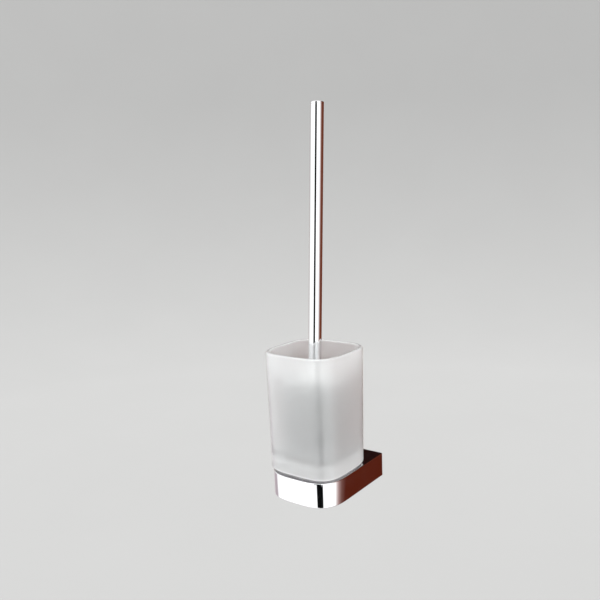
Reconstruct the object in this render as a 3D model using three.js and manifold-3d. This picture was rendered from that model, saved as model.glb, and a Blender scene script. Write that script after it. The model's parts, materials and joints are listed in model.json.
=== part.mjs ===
// A wall-mounted toilet brush set. A frosted glass cup stands in a chrome holder, the holder
// slides onto a concealed wall plate, and a brush with a chrome handle leans in the cup.
// Millimetres, +Z up. The wall is the plane y = 0 and the room lies towards -Y.
// The origin is on the wall, at the centre of the wall plate, at the holder's mid-height.

import * as THREE from "three";
import { mergeVertices } from "three/addons/utils/BufferGeometryUtils.js";
import Module from "manifold-3d";

const wasm = await Module();
wasm.setup();

// Holder: straight sides from the wall, then the front half of a superellipse in plan.
const HOLDER_WIDTH = 80;
const HOLDER_DEPTH = 106.7;
const HOLDER_HEIGHT = 25.4;
const HOLDER_EXPONENT = 3.05;
const HOLDER_EDGE = 0.8;
const HOLDER_FLOOR = 3;
const DRAIN_RADIUS = 3;

// Cup: every level is a superellipse, given by its half-width at right angles to the wall.
const CUP_AXIS_Y = -64.6;
const CUP_EXPONENT = 3.69;
const CUP_BASE_HALF = 41;
const CUP_RIM_HALF = 42.5;
const CUP_HEIGHT = 123;
const CUP_WALL = 3.9;
const CUP_FLOOR = 17;
const CUP_EDGE = 4;
const CUP_FLOOR_CURVE = 8;
const FOOT_HALF = 34.3;
const FOOT_DEPTH = 6;

// Seat: a translucent ring between the cup and the holder, with a skirt down into the well.
const SEAT_LIP = 2.2;
const SEAT_LIP_HALF = 39;
const SEAT_WALL = 1.8;
const SEAT_SKIRT = 14;
const SLIP_GAP = 0.3;
const FOOT_GAP = 0.5;

// Brush: its axis leans towards the wall and the +X side.
const BRUSH_LENGTH = 348.3;
const BRUSH_LEAN = 2.39;
const BRUSH_LEAN_TOWARDS = 45.3;
const BRUSH_FOOT_X = -2.36;
const BRUSH_FOOT_Y = -67.48;
const BRUSH_FOOT_RISE = 1;
const HANDLE_RADIUS = 6.58;
const HANDLE_WALL = 1;
const HANDLE_START = 88;
const CAP_THICKNESS = 2;
const CAP_SPIGOT = 8;
const BUSH_LENGTH = 24;
const STUD_RADIUS = 3;
const STUD_LENGTH = 34;

// Brush head
const HEAD_RADIUS = 33.5;
const HEAD_TOP = 78;
const TIP_HEIGHT = 13;
const ROW_COUNT = 7;
const ROW_GAP = 0.8;
const CORE_RADIUS = 11;
const CORE_START = 9;
const NECK_RADIUS = 7.6;
const NECK_START = 82;
const PIECE_GAP = 0.3;

// Wall plate: a channel that the holder's rear pocket slides over.
const PLATE_LENGTH = 56;
const PLATE_HEIGHT = 16;
const PLATE_THICKNESS = 2.5;
const PLATE_FLANGE = 11;
const PLATE_FLANGE_THICKNESS = 2;
const POCKET_LENGTH = 58;
const POCKET_HEIGHT = 18.4;
const POCKET_DEPTH = 13;
const SCREW_SPACING = 36;
const SLOT_LENGTH = 7;
const SLOT_WIDTH = 4.6;

// Wall screws and washers. Each screw is modelled as far as the face of the wall.
const SCREW_RADIUS = 2;
const SCREW_HEAD_RADIUS = 3.9;
const SCREW_HEAD_HEIGHT = 2.6;
const WASHER_RADIUS = 4.8;
const WASHER_BORE = 2.2;
const WASHER_THICKNESS = 0.8;

// Grub screw, from below, that clamps the holder on the plate.
const GRUB_RADIUS = 2.5;
const GRUB_HOLE_RADIUS = 2.6;
const GRUB_Y = -7;
const GRUB_RECESS = 0.4;
const GRUB_TIP_GAP = 0.3;
const GRUB_HEX_RADIUS = 1.45;
const GRUB_HEX_DEPTH = 2;

// Facets round a full turn
const CUP_FACETS = 56;
const ROUND_FACETS = 32;
const SMALL_FACETS = 20;

const holderTop = HOLDER_HEIGHT / 2;
const holderBottom = -holderTop;
const cupBase = holderTop + SEAT_LIP;
const cupRim = cupBase + CUP_HEIGHT;
const cavityFloor = cupBase + CUP_FLOOR;
const skirtHalf = FOOT_HALF + FOOT_GAP + SEAT_WALL;
const wellHalf = skirtHalf + SLIP_GAP;

const chrome = new THREE.MeshStandardMaterial({ color: 0xd9dade, roughness: 0.06, metalness: 1 });
const frosted = new THREE.MeshStandardMaterial({ color: 0xdfe3e2, roughness: 0.6, metalness: 0 });
const clearPlastic = new THREE.MeshStandardMaterial({ color: 0xd8d6cf, roughness: 0.4, metalness: 0 });
const whitePlastic = new THREE.MeshStandardMaterial({ color: 0xf1f1ee, roughness: 0.45, metalness: 0 });
const bristle = new THREE.MeshStandardMaterial({ color: 0xf4f4f1, roughness: 0.7, metalness: 0 });
const stainless = new THREE.MeshStandardMaterial({ color: 0xa9abad, roughness: 0.35, metalness: 1 });
const brassBush = new THREE.MeshStandardMaterial({ color: 0xb89a54, roughness: 0.35, metalness: 1 });

// A closed geometry as a solid for joining and cutting, without the facets that have no area.
function solid(geometry) {
  const bare = geometry.clone();
  bare.deleteAttribute("normal");
  bare.deleteAttribute("uv");
  const merged = mergeVertices(bare);
  const corners = merged.index.array;
  const kept = [];
  for (let i = 0; i < corners.length; i += 3) {
    const [a, b, c] = corners.slice(i, i + 3);
    if (a !== b && b !== c && c !== a) {
      kept.push(a, b, c);
    }
  }
  return new wasm.Manifold(
    new wasm.Mesh({
      numProp: 3,
      vertProperties: new Float32Array(merged.attributes.position.array),
      triVerts: new Uint32Array(kept),
    }),
  );
}

function geometryOf(manifold) {
  const mesh = manifold.getMesh();
  const geometry = new THREE.BufferGeometry();
  geometry.setAttribute("position", new THREE.BufferAttribute(mesh.vertProperties, 3));
  geometry.setIndex(new THREE.BufferAttribute(mesh.triVerts, 1));
  geometry.computeVertexNormals();
  return geometry;
}

function cut(geometry, ...tools) {
  const left = tools.reduce((rest, tool) => rest.subtract(solid(tool)), solid(geometry));
  return geometryOf(left);
}

function piece(name, geometry, material) {
  const mesh = new THREE.Mesh(geometry, material);
  mesh.name = name;
  return mesh;
}

// A profile of [radius, height] points turned about +Z. It runs anticlockwise, from the bottom
// outwards and up, and starts and ends on the axis or closes on itself.
function revolved(profile, facets) {
  const points = profile.map(([radius, height]) => new THREE.Vector2(radius, height));
  return new THREE.LatheGeometry(points, facets).rotateX(Math.PI / 2);
}

// Points of a quarter or other part of a circle, from one angle to another in degrees.
function arc(centreRadius, centreHeight, radius, from, to, steps) {
  return Array.from({ length: steps + 1 }, (_, i) => {
    const angle = THREE.MathUtils.degToRad(from + ((to - from) * i) / steps);
    return [centreRadius + radius * Math.cos(angle), centreHeight + radius * Math.sin(angle)];
  });
}

// How far the point (x, y) of the unit circle moves out to lie on a superellipse.
function superellipse(x, y, exponent) {
  const sum = Math.abs(x) ** exponent + Math.abs(y) ** exponent;
  return sum ** (-1 / exponent);
}

// Turns each circle about +Z into a superellipse: a point at angle t is moved outwards by
// 1 / (|cos t|^n + |sin t|^n)^(1/n), which leaves the half-width across the flats as it was.
function squared(geometry, exponent) {
  const position = geometry.attributes.position;
  for (let i = 0; i < position.count; i++) {
    const x = position.getX(i);
    const y = position.getY(i);
    const radius = Math.hypot(x, y);
    if (radius > 0) {
      const stretch = superellipse(x / radius, y / radius, exponent);
      position.setXY(i, x * stretch, y * stretch);
    }
  }
  return geometry;
}

function softSquare(profile) {
  return squared(revolved(profile, CUP_FACETS), CUP_EXPONENT).translate(0, CUP_AXIS_Y, 0);
}

function block(width, depth, height, x, y, z) {
  return new THREE.BoxGeometry(width, depth, height).translate(x, y, z);
}

// A round bar along +Z from one height to another.
function bar(radius, from, to, facets) {
  const shape = new THREE.CylinderGeometry(radius, radius, to - from, facets);
  return shape.rotateX(Math.PI / 2).translate(0, 0, (from + to) / 2);
}

// The plan of the holder, carried a little past the wall so that its back can be cut off square.
function holderPlan() {
  const half = HOLDER_WIDTH / 2;
  const overrun = 2;
  const steps = CUP_FACETS;
  const outline = new THREE.Shape();
  outline.moveTo(half, overrun);
  outline.lineTo(-half, overrun);
  for (let i = 0; i <= steps; i++) {
    const angle = Math.PI * (1 + i / steps);
    const x = Math.cos(angle);
    const y = Math.sin(angle);
    const stretch = superellipse(x, y, HOLDER_EXPONENT);
    outline.lineTo(half * x * stretch, half - HOLDER_DEPTH + half * y * stretch);
  }
  outline.closePath();
  return outline;
}

function holderBody() {
  const shell = new THREE.ExtrudeGeometry(holderPlan(), {
    depth: HOLDER_HEIGHT - 2 * HOLDER_EDGE,
    bevelThickness: HOLDER_EDGE,
    bevelSize: HOLDER_EDGE,
    bevelOffset: -HOLDER_EDGE,
    bevelSegments: 2,
  }).translate(0, 0, holderBottom + HOLDER_EDGE);
  const past = 10;
  const behindWall = block(2 * HOLDER_WIDTH, past, 2 * HOLDER_HEIGHT, 0, past / 2, 0);
  const wellFloor = holderBottom + HOLDER_FLOOR;
  const well = softSquare([
    [0, wellFloor],
    [wellHalf, wellFloor],
    [wellHalf, holderTop + past],
    [0, holderTop + past],
  ]);
  const pocket = block(POCKET_LENGTH, POCKET_DEPTH + past, POCKET_HEIGHT, 0, (past - POCKET_DEPTH) / 2, 0);
  const drain = bar(DRAIN_RADIUS, holderBottom - past, holderTop, SMALL_FACETS).translate(0, CUP_AXIS_Y, 0);
  const grubHole = bar(GRUB_HOLE_RADIUS, holderBottom - past, 0, SMALL_FACETS).translate(0, GRUB_Y, 0);
  return piece("holder_body", cut(shell, behindWall, well, pocket, drain, grubHole), chrome);
}

function cupSeat() {
  const inner = skirtHalf - SEAT_WALL;
  const skirtEnd = holderTop - SEAT_SKIRT;
  const ring = softSquare([
    [inner, skirtEnd],
    [skirtHalf, skirtEnd],
    [skirtHalf, holderTop],
    [SEAT_LIP_HALF, holderTop],
    [SEAT_LIP_HALF, cupBase],
    [inner, cupBase],
    [inner, skirtEnd],
  ]);
  return piece("cup_seat", ring, clearPlastic);
}

function glassCup() {
  const rimRadius = CUP_WALL / 2;
  const rimCentre = CUP_RIM_HALF - rimRadius;
  const cavityHalf = CUP_BASE_HALF - CUP_WALL;
  const body = softSquare([
    [0, cupBase - FOOT_DEPTH],
    [FOOT_HALF - 1, cupBase - FOOT_DEPTH],
    [FOOT_HALF, cupBase - FOOT_DEPTH + 1],
    [FOOT_HALF, cupBase],
    ...arc(CUP_BASE_HALF - CUP_EDGE, cupBase + CUP_EDGE, CUP_EDGE, -90, 0, 4),
    ...arc(rimCentre, cupRim - rimRadius, rimRadius, 0, 180, 6),
    ...arc(cavityHalf - CUP_FLOOR_CURVE, cavityFloor + CUP_FLOOR_CURVE, CUP_FLOOR_CURVE, 0, -90, 4),
    [0, cavityFloor],
  ]);
  return piece("glass_cup", body, frosted);
}

function wallPlate() {
  const half = PLATE_HEIGHT / 2;
  const inner = half - PLATE_FLANGE_THICKNESS;
  const channel = new THREE.Shape(
    [
      [0, -half],
      [0, half],
      [-PLATE_FLANGE, half],
      [-PLATE_FLANGE, inner],
      [-PLATE_THICKNESS, inner],
      [-PLATE_THICKNESS, -inner],
      [-PLATE_FLANGE, -inner],
      [-PLATE_FLANGE, -half],
    ].map(([y, z]) => new THREE.Vector2(y, z)),
  );
  // The section lies in the Y-Z plane and the extrusion runs along X.
  const axes = new THREE.Matrix4().makeBasis(
    new THREE.Vector3(0, 1, 0),
    new THREE.Vector3(0, 0, 1),
    new THREE.Vector3(1, 0, 0),
  );
  const folded = new THREE.ExtrudeGeometry(channel, { depth: PLATE_LENGTH, bevelEnabled: false });
  folded.applyMatrix4(axes).translate(-PLATE_LENGTH / 2, 0, 0);
  const slots = [-1, 1].map((side) => screwSlot((side * SCREW_SPACING) / 2));
  return piece("wall_plate", cut(folded, ...slots), stainless);
}

// A slot with round ends, lying along X, through the back of the wall plate.
function screwSlot(x) {
  const radius = SLOT_WIDTH / 2;
  const reach = SLOT_LENGTH / 2 - radius;
  const outline = new THREE.Shape();
  outline.absarc(reach, 0, radius, -Math.PI / 2, Math.PI / 2);
  outline.absarc(-reach, 0, radius, Math.PI / 2, (3 * Math.PI) / 2);
  outline.closePath();
  const through = 4 * PLATE_THICKNESS;
  const slot = new THREE.ExtrudeGeometry(outline, { depth: through, bevelEnabled: false, curveSegments: 8 });
  return slot.translate(0, 0, -through / 2).rotateX(Math.PI / 2).translate(x, 0, 0);
}

// Turns a shape made along +Z so that it points along +Y, into the wall, in front of one slot.
function intoWall(geometry, side) {
  const front = -PLATE_THICKNESS - WASHER_THICKNESS;
  return geometry.rotateX(-Math.PI / 2).translate((side * SCREW_SPACING) / 2, front, 0);
}

function wallScrew(name, side) {
  const dome = 0.9;
  const profile = [
    [0, -SCREW_HEAD_HEIGHT],
    [SCREW_HEAD_RADIUS - dome, -SCREW_HEAD_HEIGHT],
    [SCREW_HEAD_RADIUS, dome - SCREW_HEAD_HEIGHT],
    [SCREW_HEAD_RADIUS, 0],
    [SCREW_RADIUS, 0],
    [SCREW_RADIUS, PLATE_THICKNESS + WASHER_THICKNESS],
    [0, PLATE_THICKNESS + WASHER_THICKNESS],
  ];
  const recessDepth = 1.4;
  const recessSpan = 4.4;
  const recessWidth = 0.9;
  const recess = [
    block(recessSpan, recessWidth, 2 * recessDepth, 0, 0, -SCREW_HEAD_HEIGHT),
    block(recessWidth, recessSpan, 2 * recessDepth, 0, 0, -SCREW_HEAD_HEIGHT),
  ];
  const screw = cut(revolved(profile, SMALL_FACETS), ...recess);
  return piece(name, intoWall(screw, side), stainless);
}

function washer(name, side) {
  const ring = revolved(
    [
      [WASHER_BORE, 0],
      [WASHER_RADIUS, 0],
      [WASHER_RADIUS, WASHER_THICKNESS],
      [WASHER_BORE, WASHER_THICKNESS],
      [WASHER_BORE, 0],
    ],
    SMALL_FACETS,
  );
  return piece(name, intoWall(ring, side), stainless);
}

function grubScrew() {
  const bottom = holderBottom + GRUB_RECESS;
  const tip = -PLATE_HEIGHT / 2 - GRUB_TIP_GAP;
  const socket = bar(GRUB_HEX_RADIUS, bottom - 1, bottom + GRUB_HEX_DEPTH, 6);
  const screw = cut(bar(GRUB_RADIUS, bottom, tip, SMALL_FACETS), socket);
  return piece("grub_screw", screw.translate(0, GRUB_Y, 0), stainless);
}

function handleTube() {
  const inner = HANDLE_RADIUS - HANDLE_WALL;
  const end = BRUSH_LENGTH - CAP_THICKNESS - PIECE_GAP;
  const tube = revolved(
    [
      [inner, HANDLE_START],
      [HANDLE_RADIUS, HANDLE_START],
      [HANDLE_RADIUS, end],
      [inner, end],
      [inner, HANDLE_START],
    ],
    ROUND_FACETS,
  );
  return piece("handle_tube", tube, chrome);
}

function handleCap() {
  const spigot = HANDLE_RADIUS - HANDLE_WALL - PIECE_GAP;
  const disc = BRUSH_LENGTH - CAP_THICKNESS;
  const round = 0.4;
  const cap = revolved(
    [
      [0, disc - CAP_SPIGOT],
      [spigot, disc - CAP_SPIGOT],
      [spigot, disc],
      [HANDLE_RADIUS, disc],
      [HANDLE_RADIUS, BRUSH_LENGTH - round],
      [HANDLE_RADIUS - round, BRUSH_LENGTH],
      [0, BRUSH_LENGTH],
    ],
    ROUND_FACETS,
  );
  return piece("handle_cap", cap, chrome);
}

function handleBush() {
  const outer = HANDLE_RADIUS - HANDLE_WALL - PIECE_GAP;
  const bore = STUD_RADIUS + PIECE_GAP;
  const bush = revolved(
    [
      [bore, HANDLE_START],
      [outer, HANDLE_START],
      [outer, HANDLE_START + BUSH_LENGTH],
      [bore, HANDLE_START + BUSH_LENGTH],
      [bore, HANDLE_START],
    ],
    ROUND_FACETS,
  );
  return piece("handle_bush", bush, brassBush);
}

function headStud() {
  const bottom = HANDLE_START - STUD_LENGTH / 2;
  return piece("head_stud", bar(STUD_RADIUS, bottom, bottom + STUD_LENGTH, SMALL_FACETS), stainless);
}

// The moulded core that the tufts are set in, with a neck and a blind hole for the stud.
function brushCore() {
  const top = HANDLE_START - PIECE_GAP;
  const holeRadius = STUD_RADIUS + PIECE_GAP;
  const holeEnd = HANDLE_START - STUD_LENGTH / 2 - PIECE_GAP;
  const core = revolved(
    [
      [0, CORE_START],
      ...arc(CORE_RADIUS - 5, CORE_START + 5, 5, -90, 0, 3),
      ...arc(CORE_RADIUS - 3, NECK_START - 3, 3, 0, 60, 2),
      [NECK_RADIUS, NECK_START],
      [NECK_RADIUS, top],
      [holeRadius, top],
      [holeRadius, holeEnd],
      [0, holeEnd],
    ],
    ROUND_FACETS,
  );
  return piece("brush_core", core, whitePlastic);
}

// One ring for each row of tufts, numbered upwards.
function bristleRows() {
  const pitch = (HEAD_TOP - TIP_HEIGHT) / ROW_COUNT;
  const inner = CORE_RADIUS + PIECE_GAP;
  const droop = 1.2;
  return Array.from({ length: ROW_COUNT }, (_, i) => {
    const low = TIP_HEIGHT + i * pitch + ROW_GAP / 2;
    const high = low + pitch - ROW_GAP;
    const ring = revolved(
      [
        [inner, low],
        [HEAD_RADIUS - droop, low],
        [HEAD_RADIUS, (low + high) / 2],
        [HEAD_RADIUS - droop, high],
        [inner, high],
        [inner, low],
      ],
      ROUND_FACETS,
    );
    return piece(`bristle_row_${i + 1}`, ring, bristle);
  });
}

// The tufts that point down and out from the end of the core, as a bowl under it.
function bristleTip() {
  const top = TIP_HEIGHT - ROW_GAP / 2;
  const flat = 14;
  const seat = CORE_RADIUS + PIECE_GAP;
  const tip = revolved(
    [
      [0, 0],
      [flat, 0],
      [HEAD_RADIUS - 7, 3.5],
      [HEAD_RADIUS - 2, 8.5],
      [HEAD_RADIUS - 1.2, top],
      [seat, top],
      [seat, CORE_START - PIECE_GAP],
      [0, CORE_START - PIECE_GAP],
    ],
    ROUND_FACETS,
  );
  return piece("bristle_tip", tip, bristle);
}

// The brush is made along its own +Z, from the tips of its bristles, and then leant over.
function brush() {
  const group = new THREE.Group();
  group.add(handleTube(), handleCap(), handleBush());
  group.add(headStud(), brushCore(), ...bristleRows(), bristleTip());
  const lean = THREE.MathUtils.degToRad(BRUSH_LEAN);
  const towards = THREE.MathUtils.degToRad(BRUSH_LEAN_TOWARDS);
  const axis = new THREE.Vector3(
    Math.sin(lean) * Math.cos(towards),
    Math.sin(lean) * Math.sin(towards),
    Math.cos(lean),
  );
  group.quaternion.setFromUnitVectors(new THREE.Vector3(0, 0, 1), axis);
  group.position.set(BRUSH_FOOT_X, BRUSH_FOOT_Y, cavityFloor + BRUSH_FOOT_RISE);
  return group;
}

function wallFixing() {
  const group = new THREE.Group();
  group.add(wallPlate());
  for (const [word, side] of [["left", -1], ["right", 1]]) {
    group.add(wallScrew(`wall_screw_${word}`, side));
    group.add(washer(`screw_washer_${word}`, side));
  }
  return group;
}

const group = new THREE.Group();
group.add(wallFixing(), holderBody(), grubScrew(), cupSeat(), glassCup(), brush());

export default group;
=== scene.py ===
"""Looks of a wall-mounted toilet brush set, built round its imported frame.

A frosted glass cup stands on a translucent seat in a chrome holder, and a brush with a chrome
handle leans in the cup. Metres, +Z up, the wall is y = 0 and the room lies towards -Y.
"""

import json
import math

import bmesh
import bpy
import numpy as np
from mathutils import Matrix, Vector


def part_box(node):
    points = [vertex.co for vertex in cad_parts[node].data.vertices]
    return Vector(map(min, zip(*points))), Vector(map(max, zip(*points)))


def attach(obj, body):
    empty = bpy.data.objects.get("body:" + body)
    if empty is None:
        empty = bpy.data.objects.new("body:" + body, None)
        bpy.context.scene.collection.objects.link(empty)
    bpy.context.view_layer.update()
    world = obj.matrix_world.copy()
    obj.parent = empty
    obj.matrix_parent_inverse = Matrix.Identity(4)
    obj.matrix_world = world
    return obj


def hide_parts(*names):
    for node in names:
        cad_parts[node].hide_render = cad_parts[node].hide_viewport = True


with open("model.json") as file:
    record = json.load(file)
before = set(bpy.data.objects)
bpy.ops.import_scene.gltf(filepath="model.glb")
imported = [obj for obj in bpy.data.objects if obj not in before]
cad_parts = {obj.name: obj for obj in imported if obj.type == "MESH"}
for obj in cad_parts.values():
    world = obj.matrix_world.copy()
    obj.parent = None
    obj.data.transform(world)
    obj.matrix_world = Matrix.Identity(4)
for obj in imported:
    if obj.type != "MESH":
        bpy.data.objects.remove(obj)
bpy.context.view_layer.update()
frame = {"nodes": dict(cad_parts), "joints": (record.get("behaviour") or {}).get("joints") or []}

bl_info = {
    "name": "Wall-mounted toilet brush set",
    "version": (1, 0, 0),
    "blender": (4, 5, 0),
    "location": "3D View > Sidebar > Brush Set",
    "description": "Builds the pieces, finishes and studio of a wall-mounted toilet brush set",
    "category": "Add Mesh",
}

MM = 0.001


# ---------------------------------------------------------------- the frame's places and sizes


def brush_frame():
    """The point and the turn of the brush: its own +Z, turned the short way onto its axis."""
    joint = next(j for j in frame["joints"] if j["name"] == "head_unscrew")
    turn = Vector((0, 0, 1)).rotation_difference(Vector(joint["axis"])).to_matrix()
    return np.array(joint["pos_m"]), np.array(turn)


BRUSH_FOOT, BRUSH_TURN = brush_frame()


def node_points(node):
    """The corners of a CAD node, as an array."""
    vertices = frame["nodes"][node].data.vertices
    points = np.empty(len(vertices) * 3)
    vertices.foreach_get("co", points)
    return points.reshape(-1, 3)


def along_brush(node):
    """The distance along the brush's axis, and from it, of each corner of a CAD node."""
    local = (node_points(node) - BRUSH_FOOT) @ BRUSH_TURN
    return local[:, 2], np.hypot(local[:, 0], local[:, 1])


def brush_span(node):
    """(start, end, smallest radius, largest radius) of a CAD node along the brush's axis."""
    along, radius = along_brush(node)
    return along.min(), along.max(), radius.min(), radius.max()


HOLDER_LOW, HOLDER_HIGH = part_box("holder_body")
SEAT_LOW, SEAT_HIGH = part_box("cup_seat")
CUP_LOW, CUP_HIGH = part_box("glass_cup")
GRUB_LOW, GRUB_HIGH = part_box("grub_screw")
WALL_Y = HOLDER_HIGH.y
CUP_AXIS = (0.0, (CUP_LOW.y + CUP_HIGH.y) / 2)
GRUB_AXIS = ((GRUB_LOW.x + GRUB_HIGH.x) / 2, (GRUB_LOW.y + GRUB_HIGH.y) / 2)
GRUB_RADIUS = (GRUB_HIGH.x - GRUB_LOW.x) / 2
CUP_BASE = SEAT_HIGH.z + 0.05 * MM  # the cup stands this little above its seat, so they don't touch

# A place is the point and the turn that carry a piece from its own frame into the model's.
BRUSH_PLACE = (BRUSH_FOOT, BRUSH_TURN)
CUP_PLACE = (np.array([*CUP_AXIS, 0.0]), np.eye(3))
GRUB_PLACE = (np.array([*GRUB_AXIS, 0.0]), np.eye(3))

# How many points there are round each piece.
CUP_COLUMNS, SEAT_COLUMNS, HANDLE_COLUMNS, BUSH_COLUMNS = 288, 240, 128, 96
CORE_COLUMNS, STUD_COLUMNS, GRUB_COLUMNS, CUTTER_COLUMNS, BACKDROP_COLUMNS = 96, 64, 72, 48, 96


# ---------------------------------------------------------------- sizes and colours to change


class HolderSettings(bpy.types.PropertyGroup):
    """Sizes of the chrome holder and of the seat on it."""

    exponent: bpy.props.FloatProperty(
        name="Front roundness", description="Superellipse exponent of the holder's front in plan",
        default=3.05, min=2.0, max=8.0)
    edge: bpy.props.FloatProperty(
        name="Edge radius", description="Radius of the holder's outer edges",
        default=0.8 * MM, min=0.1 * MM, max=3 * MM, unit="LENGTH")
    floor: bpy.props.FloatProperty(
        name="Floor thickness", description="Thickness of the metal under the well",
        default=3 * MM, unit="LENGTH")
    well_half: bpy.props.FloatProperty(
        name="Well half-width", description="Half-width of the well that takes the seat",
        default=36.9 * MM, unit="LENGTH")
    drain: bpy.props.FloatProperty(
        name="Drain radius", description="Radius of the drain hole",
        default=3 * MM, unit="LENGTH")
    chrome: bpy.props.FloatVectorProperty(
        name="Chrome", description="Colour of the chrome plate",
        default=(0.86, 0.865, 0.875), size=3, min=0, max=1, subtype="COLOR")


class CupSettings(bpy.types.PropertyGroup):
    """Sizes of the glass cup."""

    exponent: bpy.props.FloatProperty(
        name="Squareness", description="Superellipse exponent of the cup in plan",
        default=3.69, min=2.0, max=8.0)
    base_half: bpy.props.FloatProperty(
        name="Base half-width", description="Half-width of the cup just above its base",
        default=41 * MM, unit="LENGTH")
    wall: bpy.props.FloatProperty(
        name="Wall thickness", description="Thickness of the glass wall",
        default=3.9 * MM, unit="LENGTH")
    floor: bpy.props.FloatProperty(
        name="Floor thickness", description="Thickness of the glass under the cavity",
        default=17 * MM, unit="LENGTH")
    foot_half: bpy.props.FloatProperty(
        name="Foot half-width", description="Half-width of the foot that drops into the seat",
        default=34.3 * MM, unit="LENGTH")
    base_edge: bpy.props.FloatProperty(
        name="Base edge radius", description="Radius of the cup's lower outer edge",
        default=2.6 * MM, unit="LENGTH")
    floor_curve: bpy.props.FloatProperty(
        name="Cavity corner radius", description="Radius between the cavity's wall and floor",
        default=8 * MM, unit="LENGTH")
    glass: bpy.props.FloatVectorProperty(
        name="Glass", description="Colour of the frosted glass",
        default=(0.931, 0.944, 0.944), size=3, min=0, max=1, subtype="COLOR")


class BrushSettings(bpy.types.PropertyGroup):
    """Sizes and colours of the brush."""

    tufts: bpy.props.IntProperty(
        name="Tufts in a row", description="Tufts round each row of the head",
        default=15, min=6, max=30)
    filaments: bpy.props.IntProperty(
        name="Filaments in a tuft", description="Nylon filaments in each tuft",
        default=26, min=6, max=60)
    filament: bpy.props.FloatProperty(
        name="Filament radius", description="Radius of one nylon filament",
        default=0.17 * MM, unit="LENGTH")
    seed: bpy.props.IntProperty(
        name="Seed", description="Starts the scatter of the filaments", default=7)
    nylon: bpy.props.FloatVectorProperty(
        name="Nylon", description="Colour of the bristles",
        default=(0.76, 0.765, 0.765), size=3, min=0, max=1, subtype="COLOR")


class StageSettings(bpy.types.PropertyGroup):
    """The studio round the object."""

    floor_drop: bpy.props.FloatProperty(
        name="Floor drop", description="Height of the holder's underside above the floor",
        default=0.45, unit="LENGTH")
    lens: bpy.props.FloatProperty(
        name="Lens", description="Focal length for a 36 mm wide sensor",
        default=39.91, unit="CAMERA")
    backdrop: bpy.props.FloatVectorProperty(
        name="Backdrop", description="Colour of the floor and backdrop",
        default=(0.33, 0.33, 0.327), size=3, min=0, max=1, subtype="COLOR")


# ---------------------------------------------------------------- curves and surfaces


def superellipse(angle, exponent):
    """How far a circle's point moves out: 1 / (|cos a|^n + |sin a|^n)^(1/n) at each angle a."""
    total = np.abs(np.cos(angle)) ** exponent + np.abs(np.sin(angle)) ** exponent
    return total ** (-1 / exponent)


def round_angles(count):
    """Evenly spaced angles round a whole turn."""
    return np.arange(count) * 2 * math.pi / count


def circle(angle, radius=1.0):
    """The points radius * (cos a, sin a), for one radius or for one at each angle a."""
    return np.stack([radius * np.cos(angle), radius * np.sin(angle)], axis=-1)


def level(points, height):
    """Plan points at one height."""
    return np.column_stack([points, np.full(len(points), height)])


def rounded_profile(corners, steps=6, hold=0.15 * MM):
    """A profile through the corners (radius, height, round): each corner is an arc of its own
    round, tangent to both sides, from the half-angle formula round * tan(turn / 2) for the
    distance that it takes off each side. A point just outside each arc keeps the sides flat."""
    straight = 1e-6
    points = [np.array(corners[0][:2])]
    for before, corner, after in zip(corners, corners[1:], corners[2:]):
        here = np.array(corner[:2])
        into = here - np.array(before[:2])
        out = np.array(after[:2]) - here
        into, out = into / np.linalg.norm(into), out / np.linalg.norm(out)
        turn = math.acos(np.clip(into @ out, -1, 1))
        if corner[2] == 0 or turn < straight:
            points.append(here)
            continue
        back = corner[2] * math.tan(turn / 2)
        side = math.copysign(1, into[0] * out[1] - into[1] * out[0])
        centre = here - into * back + side * corner[2] * np.array([-into[1], into[0]])
        first = here - into * back - centre
        angles = side * np.linspace(0, turn, steps + 1)
        arc = np.stack([
            first[0] * np.cos(angles) - first[1] * np.sin(angles),
            first[0] * np.sin(angles) + first[1] * np.cos(angles)], axis=1) + centre
        points += [arc[0] - into * hold, *arc, arc[-1] + out * hold]
    points.append(np.array(corners[-1][:2]))
    return np.array(points)


def turned_rings(profile, columns, exponent=None):
    """The profile [radius, height] carried round +Z: the point at angle a is radius * (cos a,
    sin a), moved out to a superellipse where an exponent is given. One ring for each point."""
    angle = round_angles(columns)
    stretch = np.ones(columns) if exponent is None else superellipse(angle, exponent)
    radius = profile[:, 0, None] * stretch
    return np.dstack([circle(angle, radius), np.broadcast_to(profile[:, 1, None], radius.shape)])


def grid_quads(rows, columns, wrap_rows):
    """The corner numbers of a grid's quads. Its columns always wrap round."""
    down, along = np.meshgrid(
        np.arange(rows if wrap_rows else rows - 1), np.arange(columns), indexing="ij")
    below, beside = (down + 1) % rows, (along + 1) % columns
    corners = [down * columns + along, down * columns + beside,
               below * columns + beside, below * columns + along]
    return np.stack(corners, axis=-1).reshape(-1, 4)


def new_piece(name, points, faces):
    """An object from arrays of points and faces, smooth, with every face turned outwards."""
    mesh = bpy.data.meshes.new(name)
    mesh.from_pydata(points.tolist(), [], faces)
    shell = bmesh.new()
    shell.from_mesh(mesh)
    bmesh.ops.recalc_face_normals(shell, faces=shell.faces)
    shell.to_mesh(mesh)
    shell.free()
    mesh.shade_smooth()
    piece = bpy.data.objects.new(name, mesh)
    bpy.context.scene.collection.objects.link(piece)
    return piece


def skin(name, rings, loop=False, place=None):
    """A closed surface over rings of points. The last ring meets the first in a loop, or else
    the end rings close on a point at their middle. place is a (point, turn) to move it by."""
    rows, columns = rings.shape[:2]
    points = rings.reshape(-1, 3)
    quads = grid_quads(rows, columns, loop).tolist()
    fans = []
    if not loop:
        points = np.vstack([points, rings[0].mean(axis=0), rings[-1].mean(axis=0)])
        here = np.arange(columns)
        beside = (here + 1) % columns
        low, high = np.full(columns, rows * columns), np.full(columns, rows * columns + 1)
        last = (rows - 1) * columns
        fans = np.vstack([
            np.stack([low, beside, here], axis=1),
            np.stack([high, here + last, beside + last], axis=1)]).tolist()
    if place is not None:
        points = points @ place[1].T + place[0]
    return new_piece(name, points, quads + fans)


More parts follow.
